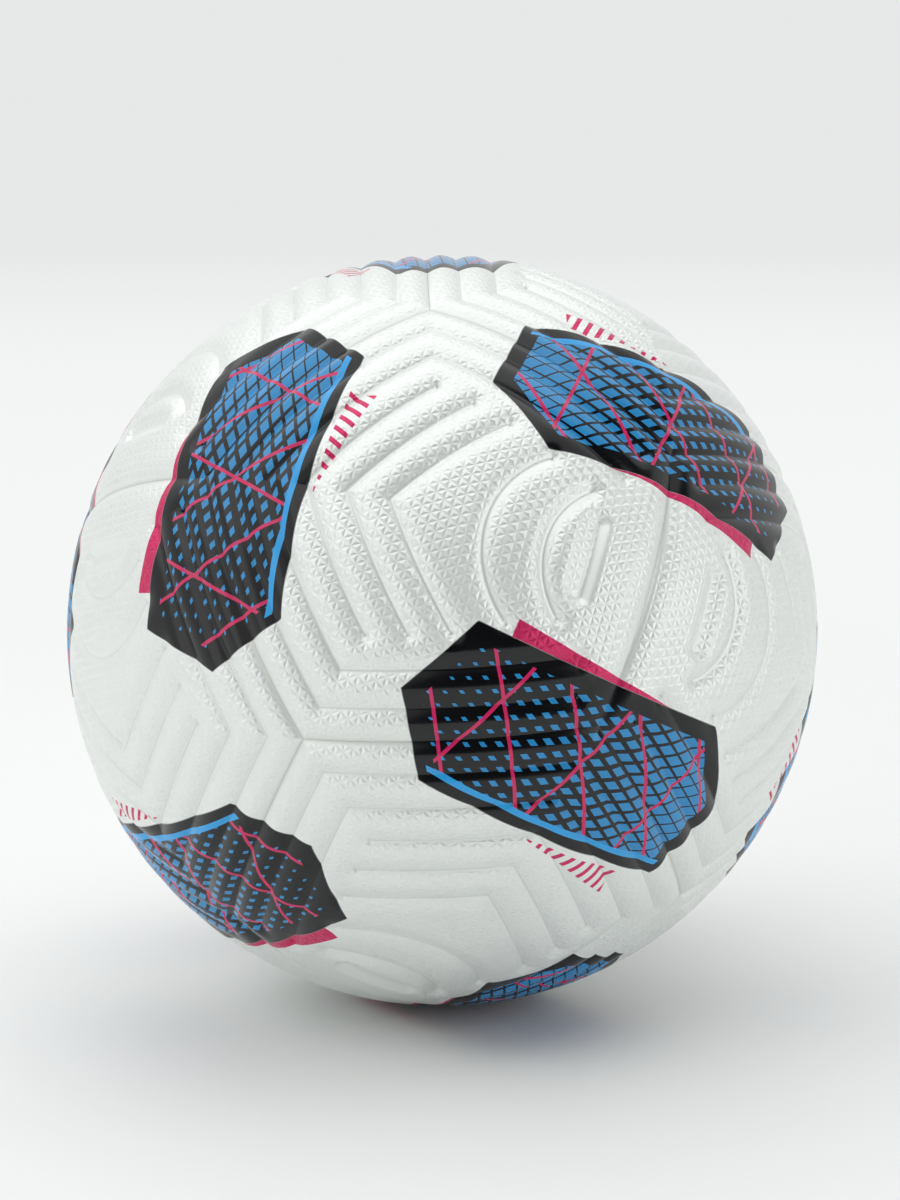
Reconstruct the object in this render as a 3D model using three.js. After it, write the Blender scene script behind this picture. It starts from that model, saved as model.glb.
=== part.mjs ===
// Futsal ball, size 4: twelve embossed pentagon panels on foam pads, bonded over a textile carcass,
// with a bladder, its valve and a low-bounce filling inside.
// Millimetres, +Z up, origin at the ball's centre.

import * as THREE from 'three';
import { mergeGeometries, mergeVertices } from 'three/addons/utils/BufferGeometryUtils.js';

// Ball
const circumference = 630;

// Layers, from the outside in
const coverThickness = 1.6;
const foamThickness = 3;
const carcassThickness = 1;
const bladderThickness = 0.9;
const layerGap = 0.3;

// Seams between panels: the gap at the foot, and the rounded drop of each panel's rim
const seamGap = 0.6;
const seamDepth = 0.9;
const seamRounding = 1.8;

// Creases pressed into a panel parallel to its edges, by their arc distance from the edge
const firstCrease = 8.2;
const secondCrease = 17.4;
const thirdCrease = 26.6;
const creaseDepth = 0.7;
const creaseHalfWidth = 1.9;

// Eye beside edge 0: a slot, and two creases that bow round it.
// The second crease stops short of edge 0, the outer bow runs into the third crease, and the flat
// middle of the panel stays clear of the sharp tip between those two.
const slotOffset = 14.5;
const slotLength = 27;
const slotWidth = 7;
const slotDepth = 0.9;
const innerBowRadius = 17;
const innerBowSpread = 72;
const outerBowRadius = 28;
const secondCreaseStop = 14.5;
const tipClearance = 2.5;

// Valve
const valveHoleRadius = 3.5;
const plugClearance = 0.4;
const plugRecess = 0.8;
const plugShaftRadius = 2.6;
const plugBulbRadius = 3.6;
const plugBulbLength = 5;
const needleDuctRadius = 0.6;
const needleDuctDepth = 16;
const bossRadius = 6;
const bossLength = 19;
const flangeRadius = 10;
const flangeThickness = 1.2;

// Filling
const fillingRadius = 52;
const fillingHeight = 30;

// How the ball lies: the front panel's tilt from straight up towards -Y, and its turn about its own axis
const frontTilt = 64;
const frontTurn = 164.8;

// Facets: points along an edge as shares of its length, and steps round a lathed piece
const fineShares = [0, 0.06, 0.36, 0.64, 0.94];
const coarseShares = [0, 0.36, 0.64];
const eyeSteps = 7;
const lathedSides = 16;

const edgeCount = 5;
const goldenRatio = (1 + Math.sqrt(5)) / 2;
const ballRadius = circumference / (2 * Math.PI);
const panelInradius = Math.atan(1 / goldenRatio);
const panelReach = panelInradius * ballRadius;
const rimOffset = seamGap / 2;

const coverInside = ballRadius - coverThickness;
const foamOutside = coverInside - layerGap;
const foamInside = foamOutside - foamThickness;
const carcassOutside = foamInside - layerGap;
const carcassInside = carcassOutside - carcassThickness;
const bladderOutside = carcassInside - layerGap;
const bladderInside = bladderOutside - bladderThickness;

// Directions on a panel. Its own frame has the panel's centre on +Z and edge 0 towards +X.

// Unit normal of the plane through one edge and the ball's centre, pointing into the panel.
function edgeInward(edge) {
  const turn = (edge * 2 * Math.PI) / edgeCount;
  const flat = Math.cos(panelInradius);
  return new THREE.Vector3(-flat * Math.cos(turn), -flat * Math.sin(turn), Math.sin(panelInradius));
}

// Direction at one arc distance inside an edge and another inside the edge after it.
function cornerAt(edge, offset, nextOffset) {
  const first = edgeInward(edge);
  const second = edgeInward(edge + 1);
  const lean = first.dot(second);
  const sine = Math.sin(offset / ballRadius);
  const nextSine = Math.sin(nextOffset / ballRadius);
  const inside = first.clone().multiplyScalar((sine - lean * nextSine) / (1 - lean * lean));
  inside.addScaledVector(second, (nextSine - lean * sine) / (1 - lean * lean));
  const ridge = first.cross(second).normalize();
  return inside.addScaledVector(ridge, Math.sqrt(1 - inside.lengthSq()));
}

// Direction at an arc distance inside edge 0 and an arc distance along it from its middle.
function besideEye(along, inside) {
  const inward = edgeInward(0);
  const middle = new THREE.Vector3(Math.sin(panelInradius), 0, Math.cos(panelInradius));
  middle.multiplyScalar(Math.cos(inside / ballRadius)).addScaledVector(inward, Math.sin(inside / ballRadius));
  const turn = along / (ballRadius * Math.cos(inside / ballRadius));
  return middle.applyAxisAngle(inward, turn);
}

// Arc distance inside edge 0 at which a bow of the given radius meets the line that runs the given
// distance inside edge 1. The corner between the two edges is taken as flat.
function bowMeets(radius, offset) {
  const cornerAngle = (2 * Math.PI) / 3;
  const halfEdge = cornerAt(0, 0, 0).angleTo(cornerAt(-1, 0, 0)) * ballRadius / 2;
  const slope = -1 / Math.tan(cornerAngle);
  const start = halfEdge - offset / Math.sin(cornerAngle);
  const a = slope * slope + 1;
  const b = start * slope - slotOffset;
  const c = start * start + slotOffset * slotOffset - radius * radius;
  return (-b + Math.sqrt(b * b - a * c)) / a;
}

// Rings. A ring goes once round a panel, and a point's place counts edges and shares of an edge.

// Points of a ring at one offset inside edges 1 to 4 and another inside edge 0. The eye, if given,
// places the points between the corners of edge 0, and the depth sinks single points.
function ringAt({ radius, offset, eyeOffset = offset, shares = fineShares, eye, depth = () => 0 }) {
  const offsets = [eyeOffset, offset, offset, offset, offset];
  const ring = [];
  for (let edge = 0; edge < edgeCount; edge += 1) {
    const before = (edge + edgeCount - 1) % edgeCount;
    const after = (edge + 1) % edgeCount;
    const inward = edgeInward(edge);
    const start = cornerAt(before, offsets[before], offsets[edge]);
    const end = cornerAt(edge, offsets[edge], offsets[after]).projectOnPlane(inward);
    const rise = start.dot(inward);
    start.projectOnPlane(inward);
    const eyed = edge === 0 && shares === fineShares;
    const edgeShares = eyed ? Array.from({ length: eyeSteps }, (_, step) => step / eyeSteps) : shares;
    for (const share of edgeShares) {
      const straight = start.clone().lerp(end, share).setLength(start.length()).addScaledVector(inward, rise);
      const point = eyed && eye && share > 0 ? eye(share) : straight;
      ring.push({ place: edge + share, point: point.multiplyScalar(radius - depth(edge, share)) });
    }
  }
  return ring;
}

// A round ring about the panel's centre, in step with the other rings of its kind.
function roundRing(distance, shares, radius) {
  const height = Math.sqrt(radius * radius - distance * distance);
  return ringAt({ radius, offset: panelReach / 2, shares }).map(({ place, point }) => {
    const turn = Math.atan2(point.y, point.x);
    return { place, point: new THREE.Vector3(distance * Math.cos(turn), distance * Math.sin(turn), height) };
  });
}

// A ring that has shrunk to the panel's centre.
function centreOf(radius) {
  return [{ place: 0, point: new THREE.Vector3(0, 0, radius) }];
}

// Triangles between two neighbouring rings, stepping along whichever ring is behind.
function stitch(near, far, triangles) {
  const nearCount = near.length > 1 ? near.length : 0;
  let i = 0;
  let j = 0;
  while (i < nearCount || j < far.length) {
    const nextNear = i + 1 < near.length ? near[i + 1].place : edgeCount;
    const nextFar = j + 1 < far.length ? far[j + 1].place : edgeCount;
    triangles.push(near[i % near.length].point, far[j % far.length].point);
    if (i >= nearCount || (j < far.length && nextFar <= nextNear)) {
      j += 1;
      triangles.push(far[j % far.length].point);
    } else {
      i += 1;
      triangles.push(near[i % near.length].point);
    }
  }
}

// Surface through a list of rings, from the panel's centre outwards, facing out or turned to face in.
function skin(rings, facesIn) {
  const triangles = [];
  for (let k = 0; k + 1 < rings.length; k += 1) {
    stitch(rings[k], rings[k + 1], triangles);
  }
  if (facesIn) {
    triangles.reverse();
  }
  return new THREE.BufferGeometry().setFromPoints(triangles);
}

function weld(geometry) {
  geometry.deleteAttribute('normal');
  geometry.deleteAttribute('uv');
  return mergeVertices(geometry, 1e-3);
}

// One closed panel layer: its outside, its wall at the rim, its inside, and the valve hole's wall.
function layerSolid(outside, inside) {
  const sides = [skin(outside), skin([outside.at(-1), inside.at(-1)]), skin(inside, true)];
  if (outside[0].length > 1) {
    sides.push(skin([inside[0], outside[0]]));
  }
  return weld(mergeGeometries(sides));
}

// Panel cover

// Places of a ring's points along the slot: its two ends and its straight stretch, from end to end.
function slotRun(inside, halfLength) {
  const reach = [1, 0.74, 0.25, -0.25, -0.74, -1];
  return (share) => besideEye(-halfLength * reach[Math.round(share * eyeSteps) - 1], inside);
}

// Places of a ring's points along a bow round the slot's centre, spread evenly up to an angle.
function bowRun(radius, spread, firstStep, steps) {
  return (share) => {
    const angle = spread * ((2 * (share * eyeSteps - firstStep)) / steps - 1);
    return besideEye(radius * Math.sin(angle), slotOffset + radius * Math.cos(angle));
  };
}

// A bow that runs from corner to corner of its ring.
function outerBow(radius, offset, clearance = 0) {
  const tip = bowMeets(radius, offset);
  const spread = Math.acos((tip - slotOffset) / radius);
  return { offset, eyeOffset: tip + clearance, eye: bowRun(radius, spread, 0, eyeSteps) };
}

// A bow that stands clear of the corners of its ring.
function innerBow(radius, offset, eyeOffset) {
  const spread = THREE.MathUtils.degToRad(innerBowSpread);
  return { offset, eyeOffset, eye: bowRun(radius, spread, 1, eyeSteps - 2) };
}

// Rings of the embossed outside, from the centre or the valve hole out to the rim.
function reliefRings(holeRadius) {
  const radius = ballRadius;
  const side = creaseHalfWidth;
  const bottom = creaseDepth;
  const halfSlot = slotLength / 2;
  const shortSlot = halfSlot - slotWidth / 4;
  const afterFirst = firstCrease + side;
  const beforeSecond = secondCrease - side;
  const bandStep = (beforeSecond - afterFirst) / 3;
  const stopStep = (secondCreaseStop - afterFirst) / 4;

  const allEdges = () => seamDepth;
  const awayFromEye = (edge, share) => (edge > 1 || (edge === 1 && share > 0) ? bottom : 0);
  const withInnerBow = (edge, share) => {
    const step = Math.round(share * eyeSteps);
    return edge === 0 && step > 1 && step < eyeSteps - 1 ? bottom : awayFromEye(edge, share);
  };
  const withOuterBow = (edge, share) => {
    const farSide = edge === 3 || (edge === 2 && share > 0);
    return farSide || (edge === 0 && share > 0) ? bottom : 0;
  };
  const alongSlot = (edge, share) => {
    const step = Math.round(share * eyeSteps);
    return edge === 0 && step > 1 && step < eyeSteps - 1 ? slotDepth : 0;
  };

  const innermost = ringAt({ radius, ...outerBow(outerBowRadius + side, thirdCrease + side, tipClearance) });
  const plateau = innermost.map(({ place, point }) => {
    const halfway = point.clone().lerp(new THREE.Vector3(0, 0, radius), 0.5);
    return { place, point: halfway.setLength(radius) };
  });
  return [
    holeRadius ? roundRing(holeRadius, fineShares, radius) : centreOf(radius),
    plateau,
    innermost,
    ringAt({ radius, ...outerBow(outerBowRadius, thirdCrease), depth: withOuterBow }),
    ringAt({ radius, ...outerBow(outerBowRadius - side, thirdCrease - side) }),
    ringAt({ radius, ...innerBow(innerBowRadius + side, secondCrease + side, secondCreaseStop + side) }),
    ringAt({ radius, ...innerBow(innerBowRadius, secondCrease, secondCreaseStop), depth: withInnerBow }),
    ringAt({ radius, ...innerBow(innerBowRadius - side, beforeSecond, secondCreaseStop - stopStep) }),
    ringAt({
      radius,
      offset: afterFirst + 2 * bandStep,
      eyeOffset: afterFirst + 2 * stopStep,
      eye: slotRun(slotOffset + slotWidth / 2, shortSlot),
    }),
    ringAt({
      radius,
      offset: afterFirst + bandStep,
      eyeOffset: afterFirst + stopStep,
      eye: slotRun(slotOffset, halfSlot),
      depth: alongSlot,
    }),
    ringAt({ radius, offset: afterFirst, eye: slotRun(slotOffset - slotWidth / 2, shortSlot) }),
    ringAt({ radius, offset: firstCrease, depth: awayFromEye }),
    ringAt({ radius, offset: firstCrease - side }),
    ringAt({ radius, offset: rimOffset + seamRounding }),
    ringAt({ radius, offset: rimOffset, depth: allEdges }),
  ];
}

// Rings of a plain spherical side of a layer, from the centre or the valve hole out to its rim.
function plainRings(radius, holeRadius, rim) {
  const shares = coarseShares;
  const rings = [centreOf(radius)];
  if (holeRadius) {
    rings[0] = roundRing(holeRadius, shares, radius);
    rings.push(roundRing(flangeRadius, shares, radius));
  }
  rings.push(ringAt({ radius, offset: panelReach / 2, shares }));
  rings.push(ringAt({ radius, offset: rim, shares }));
  return rings;
}

function coverGeometry(holeRadius) {
  return layerSolid(reliefRings(holeRadius), plainRings(coverInside, holeRadius, rimOffset));
}

// Foam pad under one cover
function foamGeometry(holeRadius) {
  const outside = plainRings(foamOutside, holeRadius, rimOffset);
  return layerSolid(outside, plainRings(foamInside, holeRadius, rimOffset));
}

// Whole hollow sphere, made of one patch for each panel, with a round hole at the valve.
function shellGeometry(outside, inside, holeRadius, panels) {
  const patches = [];
  for (const panel of panels) {
    const hole = panel.hasValve ? holeRadius : 0;
    const outer = plainRings(outside, hole, 0);
    const inner = plainRings(inside, hole, 0);
    const sides = [skin(outer), skin(inner, true)];
    if (hole) {
      sides.push(skin([inner[0], outer[0]]));
    }
    patches.push(mergeGeometries(sides).applyMatrix4(panel.matrix));
  }
  return weld(mergeGeometries(patches));
}

// Valve, on +Z of its panel

// Height of a layer over the ball's centre at a distance from the valve's axis.
function layerHeight(radius, distance) {
  return Math.sqrt(radius * radius - distance * distance);
}

const bossTop = layerHeight(bladderOutside, bossRadius);
const bossBottom = bossTop - bossLength;
const bossBore = plugShaftRadius + layerGap;
const flangeTop = layerHeight(bladderInside, flangeRadius) - layerGap;

function lathe(profile) {
  const points = profile.map(([radius, height]) => new THREE.Vector2(radius, height));
  return weld(new THREE.LatheGeometry(points, lathedSides)).rotateX(Math.PI / 2);
}

// Rubber boss that is cured into the bladder's opening, with a flange under the bladder's wall.
function bossGeometry() {
  const tip = (bossRadius + bossBore) / 2;
  return lathe([
    [bossBore, bossBottom],
    [tip, bossBottom],
    [bossRadius, bossBottom + (bossRadius - tip)],
    [bossRadius, flangeTop - flangeThickness],
    [flangeRadius, flangeTop - flangeThickness],
    [flangeRadius, flangeTop],
    [bossRadius, flangeTop],
    [bossRadius, bossTop],
    [bossBore, bossTop],
    [bossBore, bossBottom],
  ]);
}

// Rubber plug with its head in the panel's hole, a shaft in the boss and a bulb that keeps it in.
function plugGeometry() {
  const headRadius = valveHoleRadius - plugClearance;
  const top = ballRadius - plugRecess;
  const bulbTop = bossBottom - layerGap;
  return lathe([
    [0, bulbTop - plugBulbLength],
    [plugShaftRadius, bulbTop - plugBulbLength],
    [plugBulbRadius, bulbTop - (plugBulbRadius - plugShaftRadius)],
    [plugBulbRadius, bulbTop],
    [plugShaftRadius, bulbTop],
    [plugShaftRadius, bossTop + layerGap],
    [headRadius, bossTop + layerGap],
    [headRadius, top],
    [needleDuctRadius, top],
    [needleDuctRadius, top - needleDuctDepth],
    [0, top - needleDuctDepth - needleDuctRadius],
  ]);
}

// Low-bounce filling: a loose wad that lies in the bottom of the bladder, a flat cap with a low crown.
function fillingGeometry() {
  const floorRadius = bladderInside;
  const reach = Math.asin(fillingRadius / floorRadius);
  const rimHeight = -floorRadius * Math.cos(reach);
  const crown = fillingHeight - floorRadius - rimHeight;
  const floorSteps = 5;
  const crownSteps = 4;
  const profile = [];
  for (let step = 0; step <= floorSteps; step += 1) {
    const angle = (reach * step) / floorSteps;
    profile.push([floorRadius * Math.sin(angle), -floorRadius * Math.cos(angle)]);
  }
  for (let step = 1; step < crownSteps; step += 1) {
    const angle = (Math.PI / 2 * step) / crownSteps;
    profile.push([fillingRadius * Math.cos(angle), rimHeight + crown * Math.sin(angle)]);
  }
  profile.push([0, rimHeight + crown]);
  return lathe(profile);
}

// Lowers the filling inside the bladder until one gap is left between its points and the facets below.
function settle(filling, bladder) {
  bladder.updateWorldMatrix(true, false);
  const points = filling.geometry.getAttribute('position');
  const down = new THREE.Vector3(0, 0, -1);
  let drop = Infinity;
  for (let i = 0; i < points.count; i += 1) {
    const lifted = new THREE.Vector3().fromBufferAttribute(points, i);
    lifted.z += fillingHeight;
    const [below] = new THREE.Raycaster(lifted, down).intersectObject(bladder);
    const slope = below.face.normal.clone().transformDirection(bladder.matrixWorld).z;
    drop = Math.min(drop, below.distance - layerGap / slope);
  }
  filling.position.z = fillingHeight - drop;
}

// Assembly. Two panels meet along their eye edges at each end of the three axes of the layout.
function panelLayout() {
  const panels = [];
  for (const axis of [0, 1, 2]) {
    for (const end of [1, -1]) {
      for (const side of [1, -1]) {
        const normal = new THREE.Vector3().setComponent((axis + 2) % 3, end * goldenRatio);
        normal.setComponent(axis, side).normalize();
        const eye = new THREE.Vector3().setComponent((axis + 2) % 3, end);
        eye.projectOnPlane(normal).normalize();
        const matrix = new THREE.Matrix4().makeBasis(eye, normal.clone().cross(eye), normal);
        panels.push({ normal, matrix });
      }
    }
  }
  const front = panels[0].normal;
  for (const panel of panels) {
    panel.hasValve = panel.normal.angleTo(front) > Math.PI - panelInradius;
  }
  return panels;
}

const coverLook = { color: 0xeef0ee, roughness: 0.35, metalness: 0 };
const foamLook = { color: 0x8d9296, roughness: 0.9, metalness: 0 };
const carcassLook = { color: 0xd9d2c0, roughness: 0.95, metalness: 0 };
const bladderLook = { color: 0x26272a, roughness: 0.6, metalness: 0 };
const valveLook = { color: 0x1a1a1c, roughness: 0.5, metalness: 0 };
const fillingLook = { color: 0xb9b4aa, roughness: 1, metalness: 0 };

function piece(name, geometry, look, matrix = new THREE.Matrix4()) {
  const mesh = new THREE.Mesh(geometry, new THREE.MeshStandardMaterial(look));
  mesh.name = name;
  mesh.applyMatrix4(matrix);
  return mesh;
}

const layout = new THREE.Group();
layout.rotation.y = -panelInradius;
const panels = panelLayout();
panels.forEach((panel, index) => {
  const number = String(index + 1).padStart(2, '0');
  const hole = panel.hasValve ? valveHoleRadius : 0;
  layout.add(piece(`panel_cover_${number}`, coverGeometry(hole), coverLook, panel.matrix));
  layout.add(piece(`panel_foam_${number}`, foamGeometry(hole), foamLook, panel.matrix));
});
const carcassShell = shellGeometry(carcassOutside, carcassInside, valveHoleRadius, panels);
const bladderShell = shellGeometry(bladderOutside, bladderInside, bossRadius + layerGap, panels);
const bladder = piece('bladder', bladderShell, bladderLook);
const valvePanel = panels.find((panel) => panel.hasValve);
layout.add(piece('textile_carcass', carcassShell, carcassLook));
layout.add(bladder);
layout.add(piece('valve_boss', bossGeometry(), valveLook, valvePanel.matrix));
layout.add(piece('valve_plug', plugGeometry(), valveLook, valvePanel.matrix));

const lying = new THREE.Group();
lying.rotation.set(THREE.MathUtils.degToRad(frontTilt), 0, THREE.MathUtils.degToRad(frontTurn));
lying.add(layout);

const filling = piece('low_bounce_filling', fillingGeometry(), fillingLook);
settle(filling, bladder);

const ball = new THREE.Group();
ball.add(lying);
ball.add(filling);

export default ball;
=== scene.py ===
# %% [markdown]
# # A futsal ball, panel by panel
#
# A futsal ball is a skin of twelve pentagon panels, heat bonded edge to edge over foam, a textile
# carcass and a rubber bladder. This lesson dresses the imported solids: the panels get their embossing
# as real geometry, the print and the fine star texture come from nodes, and the hidden layers get
# their own materials.

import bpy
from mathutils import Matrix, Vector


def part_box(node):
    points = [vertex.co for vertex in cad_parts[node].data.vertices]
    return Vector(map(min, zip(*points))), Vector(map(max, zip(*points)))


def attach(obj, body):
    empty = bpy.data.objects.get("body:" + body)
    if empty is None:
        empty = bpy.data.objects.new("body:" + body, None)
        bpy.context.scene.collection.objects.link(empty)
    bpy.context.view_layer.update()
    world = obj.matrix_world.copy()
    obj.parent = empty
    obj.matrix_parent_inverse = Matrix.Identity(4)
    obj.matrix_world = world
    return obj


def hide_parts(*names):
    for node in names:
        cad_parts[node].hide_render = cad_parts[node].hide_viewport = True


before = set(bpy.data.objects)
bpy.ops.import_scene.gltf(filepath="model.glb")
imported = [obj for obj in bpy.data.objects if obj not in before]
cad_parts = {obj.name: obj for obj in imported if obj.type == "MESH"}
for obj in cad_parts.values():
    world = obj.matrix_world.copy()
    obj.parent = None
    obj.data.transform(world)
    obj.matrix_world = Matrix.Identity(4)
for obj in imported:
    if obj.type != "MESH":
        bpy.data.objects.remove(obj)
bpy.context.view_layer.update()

# %% [markdown]
# ## Helpers for nodes and colours
#
# Every colour below is written as an sRGB hex value, the way a paint or ink is matched, and one
# function turns it to the linear light that Blender's sockets hold. One more function adds a node: it
# takes the settings by name, and each input as a plain value or as the node that feeds it. Sockets
# without a name of their own go by number: a Map Range takes a value, the two ends of its range and
# the two ends of the new range, and a colour Mix takes a share at 0 and two colours at 6 and 7.

# %% Colour and node helpers
import math

import bpy
import numpy as np

MM = 0.001


def linear(hex_code):
    """Linear RGBA of an sRGB hex value."""
    shares = [int(hex_code[i:i + 2], 16) / 255 for i in (1, 3, 5)]
    return [s / 12.92 if s <= 0.04045 else ((s + 0.055) / 1.055) ** 2.4 for s in shares] + [1.0]


def add(tree, kind, inputs=None, **settings):
    """Adds a node. inputs maps a socket's name or number to a value, a node or a node's output."""
    made = tree.nodes.new(kind)
    for name, value in settings.items():
        setattr(made, name, value)
    for key, value in (inputs or {}).items():
        if isinstance(value, bpy.types.Node):
            value = value.outputs[0]
        if isinstance(value, bpy.types.NodeSocket):
            tree.links.new(value, made.inputs[key])
        else:
            made.inputs[key].default_value = value
    return made


print("pearl white in linear light:", [round(x, 3) for x in linear("#e8ede9")])

# %% [markdown]
# ## Helpers for materials and objects
#
# Each material starts from an empty node tree. Those of the layers under the cover end alike: a mottle
# goes between two colours and sets how rough the skin is, and a height makes a bump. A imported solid
# that stays as it is gets one material in place of its own, and a new mesh, lamp or camera becomes an
# object in the scene.

# %% Material and object helpers
def new_material(name):
    """A material with an empty node tree, and that tree."""
    material = bpy.data.materials.new(name)
    material.use_nodes = True
    material.node_tree.nodes.clear()
    return material, material.node_tree


def close_material(tree, mottle, colours, roughness, bump, ior):
    """Ends a material. roughness is a Map Range's ends, bump a height, a distance and a strength."""
    tint = add(tree, "ShaderNodeMix", {0: mottle, 6: colours[0], 7: colours[1]}, data_type="RGBA")
    rough = add(tree, "ShaderNodeMapRange", dict(enumerate((mottle, *roughness))))
    raised = add(tree, "ShaderNodeBump", dict(zip(("Height", "Distance", "Strength"), bump)))
    skin = add(tree, "ShaderNodeBsdfPrincipled", {
        "Base Color": tint.outputs[2], "Roughness": rough, "Normal": raised, "IOR": ior})
    add(tree, "ShaderNodeOutputMaterial", {0: skin})


def dress(node_name, material):
    """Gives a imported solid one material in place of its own."""
    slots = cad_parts[node_name].data.materials
    slots.clear()
    slots.append(material)


def in_scene(name, data):
    """An object in the scene for a mesh, a lamp or a camera."""
    made = bpy.data.objects.new(name, data)
    bpy.context.scene.collection.objects.link(made)
    return made


# %% [markdown]
# ## Where the twelve panels lie
#
# Twelve regular pentagons on a sphere are a dodecahedron. Each panel has one edge with an embossed
# eye beside it, and two eyes face each other across that edge. So every panel gets a frame of its own:
# X towards the eye's edge, Z outwards. One embossing die, drawn once in that frame, then serves all
# twelve panels, as it does in the factory, while panels modelled one by one would drift apart. Lengths
# are in mm, and the ball's turn is in degrees.

# %% Panel frames
CIRCUMFERENCE = 630.0
BALL_RADIUS = CIRCUMFERENCE / (2 * math.pi)
GOLDEN = (1 + math.sqrt(5)) / 2
PANEL_INRADIUS = math.atan(1 / GOLDEN)
PANEL_REACH = PANEL_INRADIUS * BALL_RADIUS
FRONT_TILT, FRONT_TURN = 64.0, 164.8
VALVE_PANEL = 3


def turned(axis, angle):
    """Rotation matrix by an angle in radians about axis 0, 1 or 2."""
    one, two = [i for i in range(3) if i != axis]
    matrix = np.eye(3)
    matrix[one, one] = matrix[two, two] = math.cos(angle)
    sign = -1 if axis == 1 else 1
    matrix[two, one] = sign * math.sin(angle)
    matrix[one, two] = -sign * math.sin(angle)
    return matrix


def unit(vectors):
    """Vectors at length 1."""
    return vectors / np.linalg.norm(vectors, axis=-1, keepdims=True)


lying = turned(0, math.radians(FRONT_TILT)) @ turned(2, math.radians(FRONT_TURN))
lying = lying @ turned(1, -PANEL_INRADIUS)
panel_frames = []
for axis in range(3):
    long_axis = (axis + 2) % 3
    for end in (1, -1):
        for side in (1, -1):
            normal = np.zeros(3)
            normal[long_axis], normal[axis] = end * GOLDEN, side
            normal = unit(normal)
            eye = np.eye(3)[long_axis] * end
            eye = unit(eye - normal * (eye @ normal))
            panel_frames.append(lying @ np.stack([eye, np.cross(normal, eye), normal], axis=1))
strays = []
for index, axes in enumerate(panel_frames):
    low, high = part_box(f"panel_cover_{index + 1:02d}")
    solid_middle = unit(np.array(low + high))
    strays.append(math.degrees(math.acos(np.clip(solid_middle @ axes[:, 2], -1, 1))))
print("largest angle between a panel frame and its solid's middle:", round(max(strays), 2), "degrees")

# %% [markdown]
# ## The lines of the embossing die
#
# The die presses creases parallel to the edges, which meet in mitred corners: two along the edges
# beside the eye, five along the far ones, of which the inner three stop short. Beside edge 0 is the
# eye, a slot with two bowed grooves round it. They could be drawn by hand as curves, but formulas keep
# them parallel to the edges: a crease is the small circle at a set distance from an edge's great
# circle, and a point of the eye is given by its distance along and inside edge 0.

# %% Edges, corners and creases
EDGES = 5
CREASES = (8.2, 17.4, 26.6, 35.8, 45.0)
EDGE_TURNS = 2 * math.pi / EDGES * np.arange(EDGES)
EDGE_NORMALS = np.stack([
    -math.cos(PANEL_INRADIUS) * np.cos(EDGE_TURNS),
    -math.cos(PANEL_INRADIUS) * np.sin(EDGE_TURNS),
    np.full(EDGES, math.sin(PANEL_INRADIUS)),
], axis=1)
EYE_MIDDLE = np.array([math.sin(PANEL_INRADIUS), 0, math.cos(PANEL_INRADIUS)])
EYE_ALONG = np.array([0.0, 1.0, 0.0])


def corner(edge_a, inset_a, edge_b, inset_b):
    """Direction at set distances in mm from two edges."""
    a, b = EDGE_NORMALS[edge_a % EDGES], EDGE_NORMALS[edge_b % EDGES]
    sine_a, sine_b = math.sin(inset_a / BALL_RADIUS), math.sin(inset_b / BALL_RADIUS)
    shared = a @ b
    in_plane = (sine_a - shared * sine_b) * a + (sine_b - shared * sine_a) * b
    in_plane = in_plane / (1 - shared ** 2)
    outwards = np.cross(a, b)
    outwards *= np.sign(outwards[2]) * math.sqrt((1 - in_plane @ in_plane) / (outwards @ outwards))
    return in_plane + outwards


def crease_between(edge, inset, start, finish, shares):
    """Directions along the curve at a set distance from an edge, from one direction to another."""
    normal, sine = EDGE_NORMALS[edge % EDGES], math.sin(inset / BALL_RADIUS)
    chord = start + (finish - start) * np.asarray(shares)[:, None]
    chord = chord - (chord @ normal)[:, None] * normal
    return unit(chord) * math.sqrt(1 - sine ** 2) + sine * normal


def beside_eye(along, inside):
    """Directions at distances in mm along edge 0 from its middle, and inside it."""
    a, b = np.asarray(along) / BALL_RADIUS, np.asarray(inside) / BALL_RADIUS
    level = np.cos(a)[..., None] * EYE_MIDDLE + np.sin(a)[..., None] * EYE_ALONG
    return np.cos(b)[..., None] * level + np.sin(b)[..., None] * EDGE_NORMALS[0]


print("panel edges are", round(PANEL_REACH, 1), "mm from the middle, creases at", CREASES, "mm inside")

# %% [markdown]
# ## Creases and where they stop
#
# A groove is kept as a line of directions with its reach to each side, its depth and how blunt its
# foot is, all in mm. The first two creases run on beside the eye and stop before its edge. The other
# three stop before the side edges. Each stop is an open end.

# %% Creases
CREASE_SHARES = np.linspace(0, 1, 13)
CREASE_REACH, CREASE_DEPTH, CREASE_BLUNT = 4.6, 1.2, 0.12
EYE_STOPS = (9.0, 13.0)
SIDE_STOP = 25.8
grooves, open_ends = [], []
for number, inset in enumerate(CREASES):
    far_start, far_finish = corner(1, inset, 2, inset), corner(3, inset, 4, inset)
    if number < len(EYE_STOPS):
        ends = corner(0, EYE_STOPS[number], 1, inset), corner(4, inset, 0, EYE_STOPS[number])
        runs = [(1, ends[0], far_start), (4, far_finish, ends[1])]
    else:
        far_start, far_finish = ends = corner(1, SIDE_STOP, 2, inset), corner(3, inset, 4, SIDE_STOP)
        runs = []
    tip = corner(2, inset, 3, inset)
    runs += [(2, far_start, tip), (3, tip, far_finish)]
    for edge, start, finish in runs:
        crease = crease_between(edge, inset, start, finish, CREASE_SHARES)
        grooves.append((crease, CREASE_REACH, CREASE_DEPTH, CREASE_BLUNT))
    open_ends += ends
print(len(grooves), "straight creases,", len(open_ends), "open ends")

# %% [markdown]
# ## The eye's bows and dimples
#
# The two bows are arcs round the slot. Where a groove stops, the die's end leaves a small dimple,
# which reads as a dark point, so each open end gets one. A bow is given by how far its centre is
# inside the edge, its radius, its half spread in degrees, and its reach, depth and bluntness.

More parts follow.
